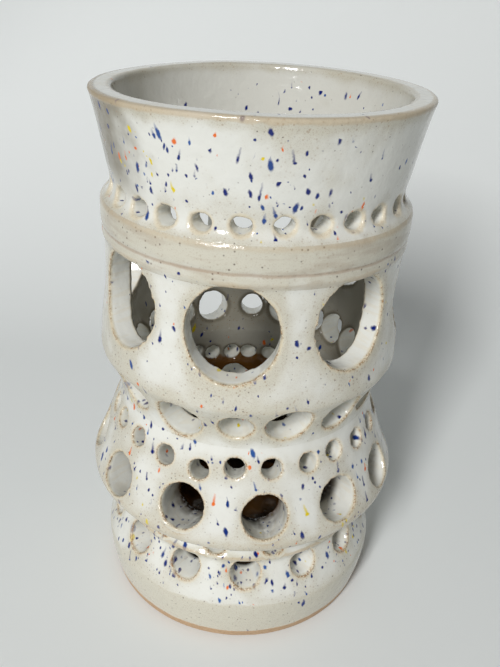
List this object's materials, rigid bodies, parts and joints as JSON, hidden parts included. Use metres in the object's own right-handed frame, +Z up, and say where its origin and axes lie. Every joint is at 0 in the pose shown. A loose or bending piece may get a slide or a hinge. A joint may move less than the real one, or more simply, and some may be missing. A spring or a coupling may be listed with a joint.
{
  "type": "reticulated vase",
  "caption": "Pierced cylindrical stoneware vase with a flared rim cup, a window barrel, a double-cone belly and a flat foot.",
  "frame": {"origin": "centre of the foot's flat underside, on the table", "axes": "+Z up along the vase's axis; the pictured front faces -Y; +X to the right of the front"},
  "size_m": [0.1238, 0.1238, 0.201],
  "materials": {
    "white_glaze": "glossy off-white glaze with iron specks and blue, orange and yellow chips",
    "thin_glaze": "glossy thin beige glaze over speckled clay",
    "raw_clay": "matt unglazed tan stoneware",
    "amber_glaze": "glassy brown and amber pooled glaze"
  },
  "bodies": {
    "root": {"base_slab": "raw_clay", "foot_ring": "white_glaze", "belly_ring": "white_glaze", "window_barrel": "white_glaze", "joint_coil": "thin_glaze", "collar_band": "thin_glaze", "rim_cup": "white_glaze", "floor_glaze_pool": "amber_glaze"}
  },
  "joints": []
}
